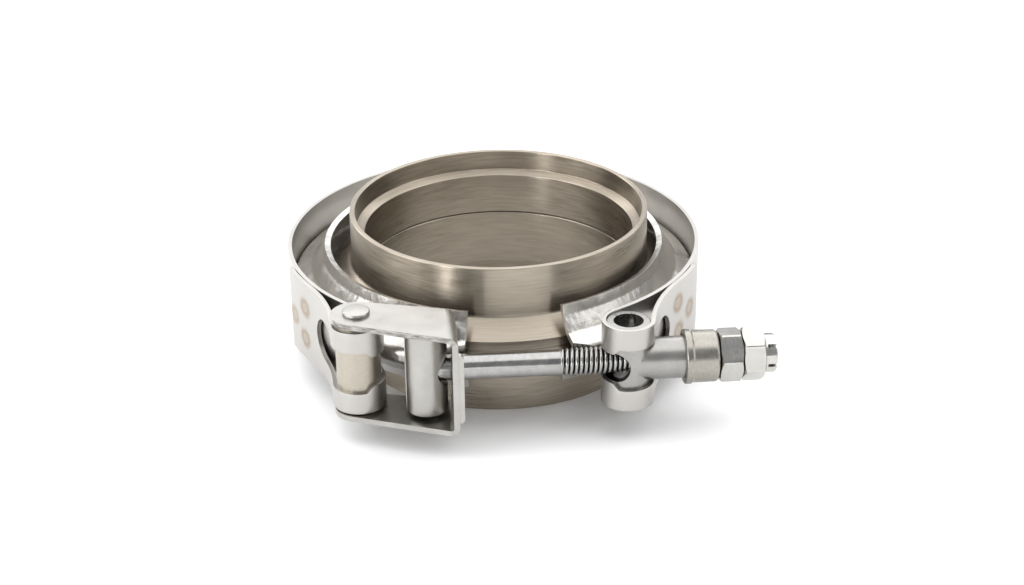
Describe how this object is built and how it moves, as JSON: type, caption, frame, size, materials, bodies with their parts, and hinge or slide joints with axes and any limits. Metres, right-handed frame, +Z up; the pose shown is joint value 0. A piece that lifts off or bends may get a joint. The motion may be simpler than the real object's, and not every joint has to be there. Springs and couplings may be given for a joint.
{
  "type": "v band clamp",
  "caption": "V band clamp with a quick-release latch, T bolt and locked nuts, closed round a male and a female pipe flange.",
  "frame": {"origin": "centre of the lower pipe socket's mouth, on the surface that the lower flange stands on", "axes": "+Z up the pipe axis; the latch and the T bolt lie on the -Y side, with the nuts towards +X"},
  "size_m": [0.1045, 0.1001, 0.0334],
  "materials": {
    "flange_steel": "satin turned",
    "strap_steel": "satin rolled sheet",
    "retainer_steel": "pressed, half bright",
    "latch_steel": "tumbled satin",
    "bushing_steel": "satin turned",
    "bolt_steel": "satin grey",
    "trunnion_steel": "tumbled satin",
    "nut_steel": "bright"
  },
  "bodies": {
    "flanges": {"lower_flange": "flange_steel", "upper_flange": "flange_steel"},
    "band": {"band_strap": "strap_steel", "left_retainer": "retainer_steel", "right_retainer": "retainer_steel", "pivot_bushing": "bushing_steel"},
    "latch": {"latch_bracket": "latch_steel", "pivot_pin": "latch_steel"},
    "swing_block": {"trunnion": "trunnion_steel", "ferrule_cup": "nut_steel"},
    "bolt": {"t_bolt": "bolt_steel", "bolt_barrel": "latch_steel"},
    "nuts": {"adjusting_nut": "nut_steel", "lock_nut": "nut_steel"}
  },
  "joints": [
    {"name": "band_swivel", "type": "hinge", "parent": "flanges", "child": "band", "pos_m": [0, 0, 0.017], "axis": [0, 0, 1], "continuous": true},
    {"name": "latch_swing", "type": "hinge", "parent": "band", "child": "latch", "pos_m": [-0.02896, -0.04218, 0.017], "axis": [0, 0, -1], "range_deg": [0, 120]},
    {"name": "bolt_swing", "type": "hinge", "parent": "band", "child": "swing_block", "pos_m": [0.02656, -0.04218, 0.017], "axis": [0, 0, 1], "range_deg": [0, 9.6]},
    {"name": "nut_turn", "type": "hinge", "parent": "swing_block", "child": "nuts", "pos_m": [0.02656, -0.04218, 0.017], "axis": [0.9974, 0.0715, 0], "range_deg": [0, 1080]},
    {"name": "bolt_slide", "type": "slide", "parent": "swing_block", "child": "bolt", "axis": [-0.9974, -0.0715, 0], "range_m": [0, 0.003]}
  ],
  "couplings": [
    {"joint": "bolt_swing", "follows": "latch_swing", "ratio": 0.08},
    {"joint": "nut_turn", "follows": "bolt_slide", "rad_per_m": 6283.2}
  ]
}
